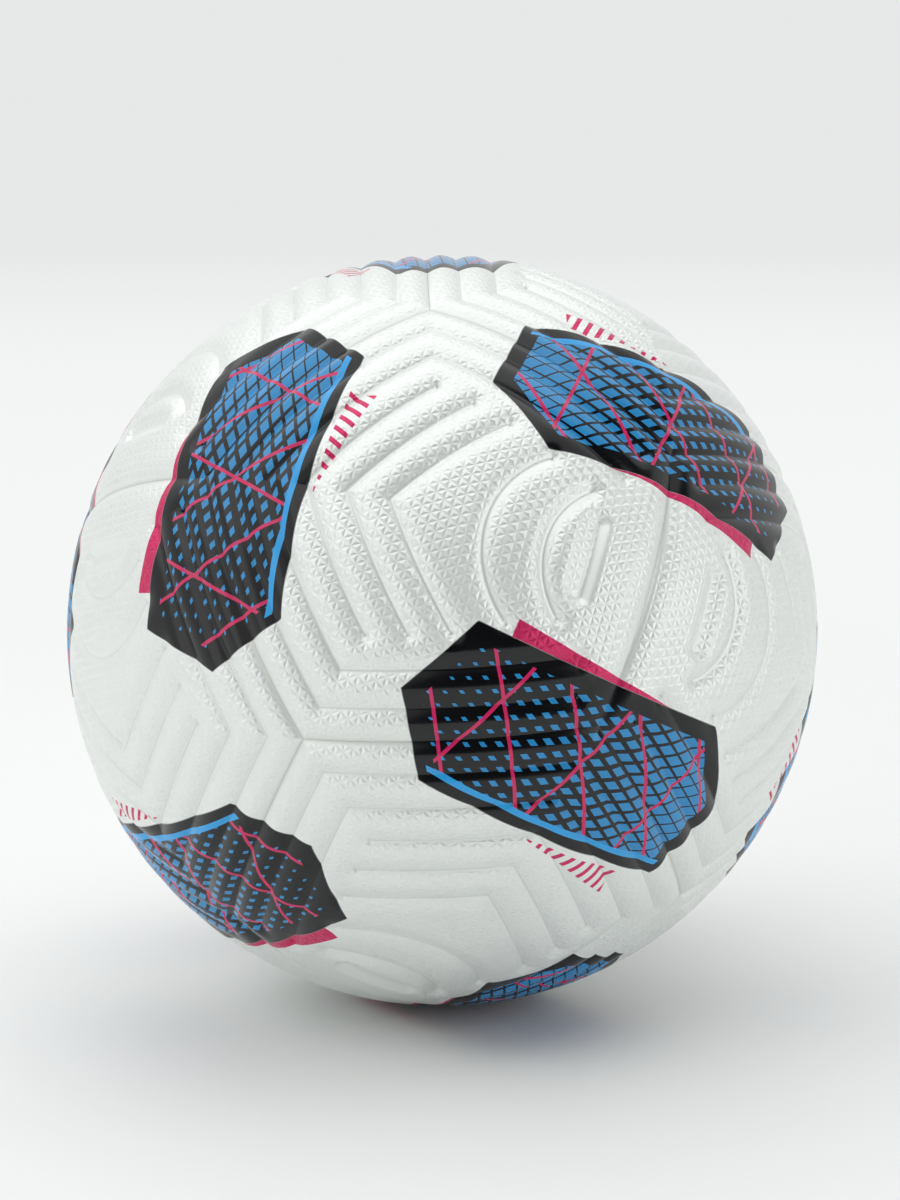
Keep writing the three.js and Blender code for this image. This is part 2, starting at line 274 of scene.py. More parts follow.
# %% Bows and dimples
BOWS = (
    (7.65, 21.6, 52.1, 4.0, 1.6, 0.7),
    (17.0, 27.5, 57.0, 5.2, 1.1, 0.25),
)
BOW_POINTS = 33
dimples = list(open_ends)
for middle, radius, spread, reach, depth, blunt in BOWS:
    angles = np.radians(np.linspace(-spread, spread, BOW_POINTS))
    bow = beside_eye(radius * np.sin(angles), middle + radius * np.cos(angles))
    grooves.append((bow, reach, depth, blunt))
    dimples += [bow[0], bow[-1]]
print(len(grooves), "grooves,", len(dimples), "dimples")

# %% [markdown]
# ## Distances on a panel
#
# The relief and the finish both follow from how far a point is from the edges, the grooves and the
# slot. The slot is a valley with one steep wall, on the seam's side, and one that rises slowly
# towards the panel's middle. A bow is pressed wider than a crease, so it counts as nearer.

# %% Distances
FAR_AWAY = 1e9
SLOT_INSIDE, SLOT_HALF_LENGTH = 17.6, 9.6
SLOT_STEEP, SLOT_SLOW, SLOT_END, SLOT_DEPTH = 3.4, 6.0, 3.6, 1.5
BOW_NEARNESS, BOW_FLOOR = 0.42, 0.14


def edge_distances(points):
    """Distance in mm of each direction from each of the five edges."""
    return BALL_RADIUS * np.arcsin(np.clip(points @ EDGE_NORMALS.T, -1, 1))


def line_distance(points, line):
    """Distance in mm of each direction from a polyline of directions."""
    nearest = np.full(len(points), FAR_AWAY)
    for start, finish in zip(line[:-1], line[1:]):
        run = finish - start
        share = np.clip((points - start) @ run / (run @ run), 0, 1)
        gap = points - start - share[:, None] * run
        nearest = np.minimum(nearest, np.einsum("ij,ij->i", gap, gap))
    return BALL_RADIUS * np.sqrt(nearest)


def slot_place(points):
    """How far in mm each direction is past the ends of the slot's foot, and beyond it from the seam."""
    inside = BALL_RADIUS * np.arcsin(np.clip(points @ EDGE_NORMALS[0], -1, 1))
    along = BALL_RADIUS * np.arctan2(points @ EYE_ALONG, points @ EYE_MIDDLE)
    return np.clip(np.abs(along) - SLOT_HALF_LENGTH, 0, None), inside - SLOT_INSIDE


def steep_wall_distance(points):
    """Distance in mm of each direction from the middle of the slot's steep wall."""
    past, beyond = slot_place(points)
    return np.hypot(past, beyond + SLOT_STEEP / 2)


def groove_distance(points):
    """Distance in mm of each direction from the nearest groove."""
    away = np.array([line_distance(points, groove[0]) for groove in grooves])
    away[-len(BOWS):] = BOW_FLOOR + BOW_NEARNESS * away[-len(BOWS):]
    return away.min(0)


panel_middle = np.array([[0.0, 0.0, 1.0]])
print("the panel's middle is", groove_distance(panel_middle).round(1), "mm from a groove")

# %% [markdown]
# ## The relief as a height over the sphere
#
# Between two creases the cover swells like a small pillow, so a groove isn't a cut: its sides rise in
# a parabola to the top of the pillow. The height at any point is the deepest of all the grooves
# there. Seams are blunter, because the rims of two panels roll into them, and the seam at the eye
# reaches further in than the other four. All this could be sculpted or come from a displacement image,
# but a formula gives every panel the same crisp feet.

# %% Height of the relief
SEAM_REACHES, SEAM_DEPTH, SEAM_BLUNT = np.array([6.3, 4.1, 4.1, 4.1, 4.1]), 1.3, 0.45
DIMPLE_REACH, DIMPLE_DEPTH = 2.1, 1.9


def smooth(low, high, values):
    """Share from 0 to 1 between two limits, with soft ends."""
    share = np.clip((values - low) / (high - low), 0, 1)
    return share * share * (3 - 2 * share)


def sunk(distance, reach, depth, blunt=CREASE_BLUNT):
    """Depth of a groove whose sides rise in a parabola, a little blunt at the foot."""
    away = np.hypot(distance, blunt) - blunt
    return depth * np.clip(1 - away / reach, 0, None) ** 2


def relief(points):
    """Height in mm over the ball's radius, for directions in the panel's frame."""
    depth = sunk(edge_distances(points), SEAM_REACHES, SEAM_DEPTH, SEAM_BLUNT).max(1)
    for line, reach, deepest, blunt in grooves:
        depth = np.maximum(depth, sunk(line_distance(points, line), reach, deepest, blunt))
    for point in dimples:
        away = BALL_RADIUS * np.linalg.norm(points - point, axis=1)
        depth = np.maximum(depth, sunk(away, DIMPLE_REACH, DIMPLE_DEPTH))
    past, beyond = slot_place(points)
    wall = np.hypot(past / SLOT_END, beyond / np.where(beyond > 0, SLOT_SLOW, SLOT_STEEP))
    wall = np.clip(wall, 0, 1)
    return -np.maximum(depth, SLOT_DEPTH * (0.5 + 0.5 * np.cos(np.pi * wall)))


sample = unit(np.array([[0.0, 0.0, 1.0], EYE_MIDDLE, grooves[0][0][6]]))
print("height at the middle, on a seam and in a crease:", relief(sample).round(2), "mm")

# %% [markdown]
# ## The print's place
#
# A ball's print is transferred to the flat cover before it is formed, and it runs across the seams.
# Here a slanted shard lies over the corner of each panel that is furthest from its eye, so the eyes
# stay white. Each vertex stores where it is on the nearest shard, in mm, and how far from its rim.
# Nodes then draw the fine pattern from those, because a mesh of half a millimetre is too coarse for
# a crisp printed line. Each side of the shard is given by its turn in degrees and its reach in mm.

# %% Shards of the print
SHARD_OFFSET = 55.0
SHARD_RIM = ((90, 21.0), (270, 21.0), (-22, 44), (158, 44), (38, 39.5), (218, 39.5))
shard_sides = np.array([[math.cos(math.radians(t)), math.sin(math.radians(t))] for t, _ in SHARD_RIM])
shard_reaches = np.array([reach for _, reach in SHARD_RIM])


def shard_places(points):
    """(u, v, distance from the rim) in mm on the nearest shard, and the next shard's rim distance."""
    best = np.full((len(points), 3), FAR_AWAY)
    clear = np.full(len(points), FAR_AWAY)
    lean = SHARD_OFFSET / BALL_RADIUS
    for axes in panel_frames:
        x, y, z = (panel_frames[0].T @ axes).T
        middle = math.cos(lean) * z - math.sin(lean) * x
        away = -math.cos(lean) * x - math.sin(lean) * z
        flat = np.stack([points @ y, points @ away], axis=1)
        angle = np.arccos(np.clip(points @ middle, -1, 1))
        flat *= (BALL_RADIUS * angle / np.maximum(np.linalg.norm(flat, axis=1), 1e-9))[:, None]
        rim = (flat @ shard_sides.T - shard_reaches).max(1)
        nearer = rim < best[:, 2]
        clear = np.where(nearer, best[:, 2], np.minimum(clear, rim))
        best[nearer] = np.column_stack([flat, rim])[nearer]
    return best, clear


print("shard:", len(SHARD_RIM), "sides,", 2 * SHARD_RIM[2][1], "mm long")

# %% [markdown]
# ## One panel's mesh
#
# A subdivided sphere could carry the relief, but its edges would cross the creases and blur them. So
# the mesh is laid in rings that run parallel to the edges, and the creases fall on edge loops and stay
# sharp. Towards the middle the rings turn round, which suits the valve's hole in one panel. After the
# outer face come the rim's wall and a coarse underside, which close the cover to a solid 1.6 mm thick.
# Rings of different counts are zipped together with triangles.

# %% Rings of a panel
COVER_THICKNESS = 1.6
SEAM_HALF_GAP = 0.03
VALVE_HOLE = 3.5
ROUND_FROM, ROUND_TO = CREASES[-1] + 0.3, PANEL_REACH - VALVE_HOLE - 0.5
RING_STOPS = (SEAM_HALF_GAP, *CREASES, PANEL_REACH)
RING_STEPS = (20, 23, 23, 23, 23, 26)
insets = np.concatenate([np.linspace(a, b, steps, endpoint=False)
                         for a, b, steps in zip(RING_STOPS, RING_STOPS[1:], RING_STEPS)])
RINGS = len(insets)


def ring_points(inset, per_edge):
    """Directions of a ring at a set distance from the edges, round towards the panel's middle."""
    points = []
    for edge in range(EDGES):
        start = corner(edge - 1, inset, edge, inset)
        finish = corner(edge, inset, edge + 1, inset)
        points.append(crease_between(edge, inset, start, finish, np.arange(per_edge) / per_edge))
    points = np.concatenate(points)
    turn = np.arctan2(points[:, 1], points[:, 0])
    tilt = (PANEL_REACH - inset) / BALL_RADIUS
    circle = np.stack([math.sin(tilt) * np.cos(turn), math.sin(tilt) * np.sin(turn),
                       np.full(len(turn), math.cos(tilt))], axis=1)
    share = smooth(ROUND_FROM, ROUND_TO, np.array(inset))
    return unit(points * (1 - share) + circle * share)


def zipped(first, first_count, second, second_count):
    """Triangles between an inner ring and the next one out, given where their vertices start."""
    faces, i, k = [], 0, 0
    while i < first_count or k < second_count:
        a, b = first + i % first_count, second + k % second_count
        if k < second_count and (k + 1) * first_count <= (i + 1) * second_count:
            faces.append((a, b, second + (k + 1) % second_count))
            k += 1
        else:
            faces.append((a, b, first + (i + 1) % first_count))
            i += 1
    return faces


print(RINGS, "rings, the outermost with", EDGES * RINGS, "points")

# %% [markdown]
# ## The rings of a whole cover
#
# The rings are worked out once in the panel's frame, with their relief, and serve all the panels. The
# valve's panel leaves its innermost rings out and gets a rounded lip instead, which is cleaner than a
# hole cut through a finished mesh. The underside is never seen, so a few coarse rings are enough.

# %% Rings of a cover
LIP_DROP, LIP_REACH = 0.5, 1.2
WALL_SHARES, WALL_ON_MAP = (0.4, 1.0), 2.5
UNDER_RINGS = (0.3, 3, 8, 16, 26, 36, 44, 49, 52)
UNDER_COARSER, UNDER_LEAST = 4, 9


def cover_rings(hole):
    """Rings from the middle round to below: points, heights, mm added on the map, and if underneath."""
    rings = []
    for j in range(1, RINGS + 1):
        inset = insets[RINGS - j]
        from_hole = PANEL_REACH - inset - hole
        if from_hole < 0:
            continue
        points = ring_points(inset, j)
        lip = LIP_DROP * np.clip(1 - from_hole / LIP_REACH, 0, None) ** 2 if hole else 0.0
        rings.append((points, relief(points) - lip, 0.0, False))
    rim, wall_top = rings[-1][:2]
    for share in WALL_SHARES:
        wall = wall_top + (-COVER_THICKNESS - wall_top) * share
        rings.append((rim, wall, WALL_ON_MAP * share, False))
    for inset in UNDER_RINGS:
        per_edge = max(UNDER_LEAST, int(RINGS * (1 - inset / PANEL_REACH) / UNDER_COARSER))
        below = np.full(EDGES * per_edge, -COVER_THICKNESS)
        rings.append((ring_points(inset, per_edge), below, 0.0, True))
    return rings


print("a plain cover has", RINGS + len(WALL_SHARES) + len(UNDER_RINGS), "rings")

# %% [markdown]
# ## Building the covers
#
# The rings are joined to one closed mesh. Each vertex also gets a place on a flat map for baked
# textures. Blender could unwrap the mesh by itself, but a panel is nearly flat, so its own directions
# give a better map: the outer face fills it, the wall lies round that, and the underside is a small
# copy in the corner. Each of the two is given by its middle on the map and the mm that fill it.

# %% Cover meshes
OUTER_ON_MAP, UNDER_ON_MAP = (0.5, 150), (0.06, 1500)


def cover_mesh(hole):
    """Panel-frame directions, heights, faces, flat places in mm and map places of one closed cover."""
    rings = cover_rings(hole)
    counts = [len(ring[0]) for ring in rings]
    starts = np.concatenate([[0], np.cumsum(counts)])
    faces = []
    for j in range(len(rings) - 1):
        faces += zipped(int(starts[j]), counts[j], int(starts[j + 1]), counts[j + 1])
    points, heights = (np.concatenate([ring[part] for ring in rings]) for part in (0, 1))
    added, under = (np.repeat([ring[part] for ring in rings], counts) for part in (2, 3))
    last = int(starts[-2])
    if hole:
        faces += zipped(last, counts[-1], 0, counts[0])
    else:
        top = len(points)
        points = np.concatenate([points, [[0, 0, 1.0], [0, 0, 1.0]]])
        heights = np.concatenate([heights, [0.0, -COVER_THICKNESS]])
        added, under = np.append(added, [0.0, 0.0]), np.append(under, [False, True])
        faces += [(top, k, (k + 1) % counts[0]) for k in range(counts[0])]
        faces += [(last + k, top + 1, last + (k + 1) % counts[-1]) for k in range(counts[-1])]
    tilt = np.arccos(np.clip(points[:, 2], -1, 1)) * BALL_RADIUS + added
    off_middle = np.abs(points[:, :2]).sum(1, keepdims=True) > 1e-9
    flat = unit(np.where(off_middle, points[:, :2], [1.0, 0.0])) * tilt[:, None]
    outer_map, under_map = (middle + flat / span for middle, span in (OUTER_ON_MAP, UNDER_ON_MAP))
    return points, heights, np.array(faces), flat, np.where(under[:, None], under_map, outer_map)


covers_made = {"plain": cover_mesh(0.0), "valve": cover_mesh(VALVE_HOLE)}
print("plain cover:", len(covers_made["plain"][0]), "vertices,",
      len(covers_made["plain"][2]), "triangles")

# %% [markdown]
# ## What each vertex knows
#
# The material needs to know where it is: on the flat panel, on the shard, and how far from a seam, a
# groove or the slot. An image could tell it, but would be coarser than the print's lines. So the same
# distances that shaped the mesh are stored on its vertices in mm, and the finish always fits the relief.

# %% Stored places
stored = {}
for name, (points, heights, _, flat, _) in covers_made.items():
    places, clear = shard_places(points)
    from_lines = [edge_distances(points).min(1), groove_distance(points), steep_wall_distance(points)]
    stored[name] = {
        "lattice_mm": np.column_stack([flat, heights]),
        "shard_mm": places,
        "groove_mm": np.column_stack(from_lines),
    }
printed = places[:, 2] < 0
print("print covers", round(float(printed.mean()), 2), "of a panel; shards keep",
      round(float(clear[printed].min()), 1), "mm apart")

# %% [markdown]
# ## Twelve covers in place
#
# Copies could share one mesh, but each cover is a mesh of its own, turned to its panel's place, so it
# can be lifted off and changed like the real panel. It stands for the plain solid of the same panel.

# %% Cover objects
SHARP_ANGLE = math.radians(50)
covers = []
for index, axes in enumerate(panel_frames):
    kind = "valve" if index == VALVE_PANEL else "plain"
    points, heights, faces, _, bake = covers_made[kind]
    mesh = bpy.data.meshes.new(f"cover_{index + 1:02d}")
    placed = points @ axes.T * ((BALL_RADIUS + heights) * MM)[:, None]
    mesh.from_pydata(placed.tolist(), [], faces.tolist())
    for name, values in stored[kind].items():
        layer = mesh.attributes.new(name, "FLOAT_VECTOR", "POINT")
        layer.data.foreach_set("vector", values.astype(np.float32).ravel())
    layer = mesh.uv_layers.new(name="OFBake")
    layer.data.foreach_set("uv", bake[faces.ravel()].astype(np.float32).ravel())
    mesh.shade_smooth()
    mesh.set_sharp_from_angle(angle=SHARP_ANGLE)
    cover = in_scene(f"embossed_cover_{index + 1:02d}", mesh)
    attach(cover, "root")
    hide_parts(f"panel_cover_{index + 1:02d}")
    covers.append(cover)
print(len(covers), "covers")

# %% [markdown]
# ## Families of parallel lines
#
# Grain, print and yarn are all made of families of parallel lines, which run at an angle to each
# other. Wave textures could draw them, but they don't give a distance in mm. So one function gives how
# far a point is from the nearest line, for each family, and keeps the least or the greatest of them:
# the least draws a net of lines, and the greatest draws lozenges.

# %% Lines by nodes
def across(degrees, length=1.0):
    """Vector across lines that are turned by an angle."""
    turn = math.radians(degrees)
    return length * math.cos(turn), length * math.sin(turn), 0


def line_families(tree, place, families, keep):
    """Distance from the nearest line of each family, a vector across it and a spacing, combined."""
    kept = None
    for vector, spacing in families:
        along = add(tree, "ShaderNodeVectorMath", {0: place, 1: vector}, operation="DOT_PRODUCT")
        near = add(tree, "ShaderNodeMath", {0: along.outputs["Value"], 1: spacing / 2},
                   operation="PINGPONG")
        kept = near if kept is None else add(tree, "ShaderNodeMath", {0: kept, 1: near}, operation=keep)
    return kept


print("across a line at 60 degrees:", [round(x, 3) for x in across(60)])

# %% [markdown]
# ## Cover: pearl white polyurethane leather with a transfer print
#
# The cover is PU synthetic leather, pressed hot under a die that leaves a fine star grain, small
# three-sided pyramids on a triangular lattice, so the white glints in points. The print is a film of
# ink that fills the grain, so it is smooth and glossier. The pyramids are too many and too low to be
# modelled, so they are a bump from three families of lines: the height is the distance to the nearest.

# %% Star grain and ink masks
STAR_SIDE, STAR_SLOPE = 2.7, 0.19
STAR_SPACING = STAR_SIDE * math.sqrt(3) / 2
INK_SOFTNESS = 0.15
leather, tree = new_material("Pearl_white_PU_leather_with_transfer_print")
lattice, shard, groove = (
    add(tree, "ShaderNodeAttribute", attribute_name=name).outputs["Vector"]
    for name in ("lattice_mm", "shard_mm", "groove_mm"))
u, v, rim = add(tree, "ShaderNodeSeparateXYZ", {0: shard}).outputs
from_seam, from_groove, from_wall = add(tree, "ShaderNodeSeparateXYZ", {0: groove}).outputs
height_mm = add(tree, "ShaderNodeSeparateXYZ", {0: lattice}).outputs[2]
star_lines = [(across(degrees), STAR_SPACING) for degrees in (0, 60, 120)]
facet = line_families(tree, lattice, star_lines, "MINIMUM")
ink = add(tree, "ShaderNodeMapRange", {0: rim, 1: -INK_SOFTNESS, 2: INK_SOFTNESS, 3: 1.0, 4: 0.0})
print("star grain:", round(STAR_SPACING, 2), "mm between rows,",
      round(STAR_SLOPE * STAR_SPACING / 3, 2), "mm high")

# %% [markdown]
# ## The pattern in the shards
#
# Sports prints often fade with a halftone, a grid of shapes that grow from one side to the other. It
# could be an image, but nodes stay crisp at any distance: two families of lines make lozenges, and
# their limit grows along the shard. A net of thin pink lines and one sky blue line lie over them.

# %% Lozenges and lines of the print
LOZENGE_PITCH, LOZENGE_TURNS = 3.3, (62, 118)
LOZENGE_SMALL, LOZENGE_LARGE = (-40.0, 0.1), (34.0, 0.44)
FIELD_RIM = -4.4
NET, NET_HALF_WIDTH = ((35, 17.0), (-20, 26.0)), 0.45
SKY_PLACE, SKY_HALF_WIDTH, SKY_RIM = -17.4, 0.8, -2.4
lozenge_lines = [(across(degrees, 1 / LOZENGE_PITCH), 1.0) for degrees in LOZENGE_TURNS]
lozenge = line_families(tree, shard, lozenge_lines, "MAXIMUM")
lozenge_size = add(tree, "ShaderNodeMapRange", {
    0: u, 1: LOZENGE_SMALL[0], 2: LOZENGE_LARGE[0], 3: LOZENGE_SMALL[1], 4: LOZENGE_LARGE[1]})
in_lozenge = add(tree, "ShaderNodeMath", {0: lozenge, 1: lozenge_size}, operation="LESS_THAN")
in_field = add(tree, "ShaderNodeMath", {0: rim, 1: FIELD_RIM}, operation="LESS_THAN")
blue = add(tree, "ShaderNodeMath", {0: in_lozenge, 1: in_field}, operation="MULTIPLY")
net_lines = [(across(degrees), spacing) for degrees, spacing in NET]
on_net = line_families(tree, shard, net_lines, "MINIMUM")
on_net = add(tree, "ShaderNodeMath", {0: on_net, 1: NET_HALF_WIDTH}, operation="LESS_THAN")
pink_inside = add(tree, "ShaderNodeMath", {0: on_net, 1: in_field}, operation="MULTIPLY")
on_sky = add(tree, "ShaderNodeMath", {0: v, 1: SKY_PLACE, 2: SKY_HALF_WIDTH}, operation="COMPARE")
in_rim = add(tree, "ShaderNodeMath", {0: rim, 1: SKY_RIM}, operation="LESS_THAN")
sky_line = add(tree, "ShaderNodeMath", {0: on_sky, 1: in_rim}, operation="MULTIPLY")
print("print: lozenges every", LOZENGE_PITCH, "mm, a net of pink lines",
      [spacing for _, spacing in NET], "mm apart")

# %% [markdown]
# ## Accents beside the shards
#
# A printed ball often has small accents outside its main fields. Along one side of the shard runs a
# pink flash that thins out, and beside the other side stands a comb of slanted ticks that grow. They
# could be meshes laid on the cover, but ink has no thickness, so they are limits on the stored places.
# Both follow the rim's distance, so they stay parallel to it.

# %% Flash and comb
FLASH_WIDE, FLASH_THIN = (-30.0, 4.6), (18.0, 0.0)
COMB_SHORT, COMB_LONG = (-4.0, 1.6), (27.0, 9.0)
FLASH_ABOVE, COMB_BELOW, COMB_GAP = 8.0, -8.0, 1.8
TICK_SLANT, TICK_HALF_PITCH, TICK_WIDTH = 0.5, 1.7, 0.7
flash_width, tick_length = (
    add(tree, "ShaderNodeMapRange", {0: u, 1: first[0], 2: last[0], 3: first[1], 4: last[1]})
    for first, last in ((FLASH_WIDE, FLASH_THIN), (COMB_SHORT, COMB_LONG)))
slant = add(tree, "ShaderNodeMath", {0: rim, 1: TICK_SLANT, 2: u}, operation="MULTIPLY_ADD")
tick = add(tree, "ShaderNodeMath", {0: slant, 1: TICK_HALF_PITCH}, operation="PINGPONG")
ACCENT_LIMITS = {
    "flash": ((rim, "LESS_THAN", flash_width), (rim, "GREATER_THAN", 0.0),
              (v, "GREATER_THAN", FLASH_ABOVE), (u, "GREATER_THAN", FLASH_WIDE[0])),
    "comb": ((rim, "LESS_THAN", tick_length), (tick, "LESS_THAN", TICK_WIDTH),
             (rim, "GREATER_THAN", COMB_GAP), (v, "LESS_THAN", COMB_BELOW),
             (u, "GREATER_THAN", COMB_SHORT[0]), (u, "LESS_THAN", COMB_LONG[0])),
}
accents = {}
for name, limits in ACCENT_LIMITS.items():
    accents[name] = 1.0
    for value, side, limit in limits:
        inside = add(tree, "ShaderNodeMath", {0: value, 1: limit}, operation=side)
        accents[name] = add(tree, "ShaderNodeMath", {0: accents[name], 1: inside}, operation="MULTIPLY")
pink_outside = add(tree, "ShaderNodeMath", {0: accents["flash"], 1: accents["comb"]},
                   operation="MAXIMUM")
print("accents:", sorted(accents))

# %% [markdown]
# ## Colours of the cover
#
# White leather isn't one white: it has a faint cloud, and glue in the seams, whose greyer line also
# paints the shade of the seam's valley. Along the grooves lies painted shade with some dust, and where
# the die pressed deepest, at the ends of the grooves, the colour is darker in patches. The ink goes over
# it in layers, black first. So the colour is built in layers, each layer over the last by its mask.

# %% Colours of the cover
PEARL_WHITE, PEARL_SHADE = "#eff3f0", "#e8ece9"
# Seam colour: glue, and painted shade in the seam's valley. Fold colour: painted shade along the
# grooves, with some dust. Deep colour: darker patches where the relief is deepest.
GLUE_AND_SEAM_SHADE, FOLD_DUST_AND_SHADE, DEEP_DARK = "#c3c8bc", "#c4c9c5", "#77776d"
INK_BLACK, INK_BLUE, INK_SKY, INK_PINK = "#0e0f12", "#2f8dc8", "#33a3e6", "#d02c64"
GLUE_AND_SHADE_FROM, GLUE_AND_SHADE_TO, GLUE_AND_SHADE_SHARE = 0.05, 0.9, 0.5
DUST_AND_SHADE_FROM, DUST_AND_SHADE_TO, DUST_AND_SHADE_SHARE = 0.03, 0.33, 0.55
PIT_FOOT, PIT_RIM = -1.85, -1.62
CLOUD_SIZE, SMUDGE_SIZE = 16.667, 0.909
SMUDGE_ENDS = (0.35, 0.6, 0.25, 0.85)
cloud = add(tree, "ShaderNodeTexNoise", {"Vector": lattice, "Scale": 1 / CLOUD_SIZE, "Detail": 2.0})
# Glue beside the seams, which also stands for painted shade in the seam's valley.
glue_and_seam_shade = add(tree, "ShaderNodeMapRange", {0: from_seam, 1: GLUE_AND_SHADE_FROM, 2: GLUE_AND_SHADE_TO, 3: GLUE_AND_SHADE_SHARE, 4: 0.0})
# Painted shade along the feet of the grooves, with some dust.
dust_and_fold_shade = add(tree, "ShaderNodeMapRange", {0: from_groove, 1: DUST_AND_SHADE_FROM, 2: DUST_AND_SHADE_TO, 3: DUST_AND_SHADE_SHARE, 4: 0.0})
# Darker in patches where the relief is deepest, at the bottoms of the dimples.
pit = add(tree, "ShaderNodeMapRange", {0: height_mm, 1: PIT_FOOT, 2: PIT_RIM, 3: 1.0, 4: 0.0})
smudge = add(tree, "ShaderNodeTexNoise", {"Vector": lattice, "Scale": 1 / SMUDGE_SIZE, "Detail": 2.0})
smudge = add(tree, "ShaderNodeMapRange", dict(enumerate((smudge, *SMUDGE_ENDS))))
deep_dark = add(tree, "ShaderNodeMath", {0: pit, 1: smudge}, operation="MULTIPLY")
LAYERS = (
    (cloud, PEARL_SHADE), (glue_and_seam_shade, GLUE_AND_SEAM_SHADE), (dust_and_fold_shade, FOLD_DUST_AND_SHADE), (deep_dark, DEEP_DARK), (ink, INK_BLACK),
    (blue, INK_BLUE), (sky_line, INK_SKY), (pink_inside, INK_PINK), (pink_outside, INK_PINK))
colour = linear(PEARL_WHITE)
for mask, hex_code in LAYERS:
    colour = add(tree, "ShaderNodeMix", {0: mask, 6: colour, 7: linear(hex_code)},
                 data_type="RGBA").outputs[2]
print(len(LAYERS), "layers over pearl white")

# %% [markdown]
# ## Grain and gloss of the cover
#
# The grain is a bump that fades where the die pressed the leather flat, beside seams, creases and the
# slot: each line of the table says from where to where, in mm, the grain comes back. The pearl is a
# share of metal, because pearl pigment is made of small mirrors. Ink is smoother than bare leather.

# %% Grain and gloss
GRAIN_FADES = ((from_seam, 0.4, 2.0), (from_groove, 0.2, 1.1), (from_wall, 1.3, 2.2))
FINE_SIZE, FINE_HEIGHT = 0.625, 0.05
WHITE_ROUGHNESS, INK_ROUGHNESS, PEARL_SHARE, LEATHER_IOR = 0.3, 0.18, 0.31, 1.46
bare = add(tree, "ShaderNodeMath", {0: 1.0, 1: ink}, operation="SUBTRACT")
grain = add(tree, "ShaderNodeMath", {0: facet, 1: bare}, operation="MULTIPLY")
for away, pressed, free in GRAIN_FADES:
    left = add(tree, "ShaderNodeMapRange", {0: away, 1: pressed, 2: free, 3: 0.0, 4: 1.0},
               interpolation_type="SMOOTHSTEP")
    grain = add(tree, "ShaderNodeMath", {0: grain, 1: left}, operation="MULTIPLY")
fine = add(tree, "ShaderNodeTexNoise", {"Vector": lattice, "Scale": 1 / FINE_SIZE, "Detail": 3.0})
height = add(tree, "ShaderNodeMath", {0: fine, 1: FINE_HEIGHT, 2: grain}, operation="MULTIPLY_ADD")
bump = add(tree, "ShaderNodeBump", {"Height": height, "Distance": STAR_SLOPE * MM, "Strength": 1.0})
rough = add(tree, "ShaderNodeMapRange", {0: ink, 1: 0.0, 2: 1.0, 3: WHITE_ROUGHNESS, 4: INK_ROUGHNESS})
pearl = add(tree, "ShaderNodeMath", {0: bare, 1: PEARL_SHARE}, operation="MULTIPLY")
skin = add(tree, "ShaderNodeBsdfPrincipled", {
    "Base Color": colour, "Roughness": rough, "Normal": bump, "IOR": LEATHER_IOR, "Metallic": pearl})
add(tree, "ShaderNodeOutputMaterial", {0: skin})
for cover in covers:
    cover.data.materials.append(leather)
print("cover material:", len(tree.nodes), "nodes")

# %% [markdown]
# ## The valve plug
#
# The valve is a soft rubber plug that sits in a hole in one panel. Only its head shows, a little below
# the cover, with a dished face and a small funnel that leads the pump's needle into the duct. It could
# be put together from cylinders and cones, but its edges are all rounded. So its profile is drawn once,
# as radius and height in mm, and spun about the panel's axis.

# %% Plug profile
PLUG_PROFILE = (
    (0.0, 82.87), (0.6, 83.47), (0.6, 98.2), (0.68, 98.6), (0.9, 98.86), (1.25, 98.99), (1.7, 99.08),
    (2.2, 99.22), (2.6, 99.38), (2.78, 99.43), (2.93, 99.4), (3.04, 99.28), (3.1, 99.1), (3.1, 94.1),
    (3.04, 93.94), (2.9, 93.88), (2.6, 93.88), (2.6, 74.5), (2.66, 74.34), (2.82, 74.28), (3.38, 74.28),
    (3.54, 74.2), (3.6, 74.0), (3.56, 73.2), (3.42, 72.2), (3.18, 71.1), (2.9, 70.1), (2.7, 69.5),
    (2.52, 69.32), (2.3, 69.28), (0.0, 69.28),
)
PLUG_SIDES = 64
spin = 2 * math.pi / PLUG_SIDES * np.arange(PLUG_SIDES)
plug_points, plug_rows = [], []
for radius, height in PLUG_PROFILE:
    turns = spin if radius else spin[:1]
    plug_rows.append([len(plug_points) + k for k in range(len(turns))])
    plug_points += [(radius * math.cos(t), radius * math.sin(t), height) for t in turns]
plug_faces = []
for inner, outer in zip(plug_rows, plug_rows[1:]):
    for k in range(PLUG_SIDES):
        a, b = inner[k % len(inner)], inner[(k + 1) % len(inner)]
        c, d = outer[(k + 1) % len(outer)], outer[k % len(outer)]
        plug_faces.append(tuple(dict.fromkeys((a, b, c, d))))
print("plug:", len(plug_points), "vertices,", len(plug_faces), "faces")

# %% [markdown]
# ## The plug in its place
#
# The spun profile is turned to the axis of the valve's panel. It stands for the plain plug of the
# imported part, so it can be pulled out like the real one.

# %% Plug object
valve_axes = panel_frames[VALVE_PANEL]
plug_mesh = bpy.data.meshes.new("plug")
plug_mesh.from_pydata((np.array(plug_points) @ valve_axes.T * MM).tolist(), [], plug_faces)
plug_mesh.shade_smooth()
plug_mesh.set_sharp_from_angle(angle=SHARP_ANGLE)
plug = in_scene("turned_valve_plug", plug_mesh)
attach(plug, "root")
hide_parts("valve_plug")
plug_head = max(height for _, height in PLUG_PROFILE)
print("valve plug's head at", [round(float(x), 4) for x in valve_axes[:, 2] * plug_head * MM])

# %% [markdown]
# ## Moulded rubber
#
# Plug and boss are moulded from black natural rubber, which leaves a satin skin with a faint bloom.
# Turning marks from the mould run round the axis, drawn as rings 0.35 mm apart, coarser than the real
# ones so that they show.

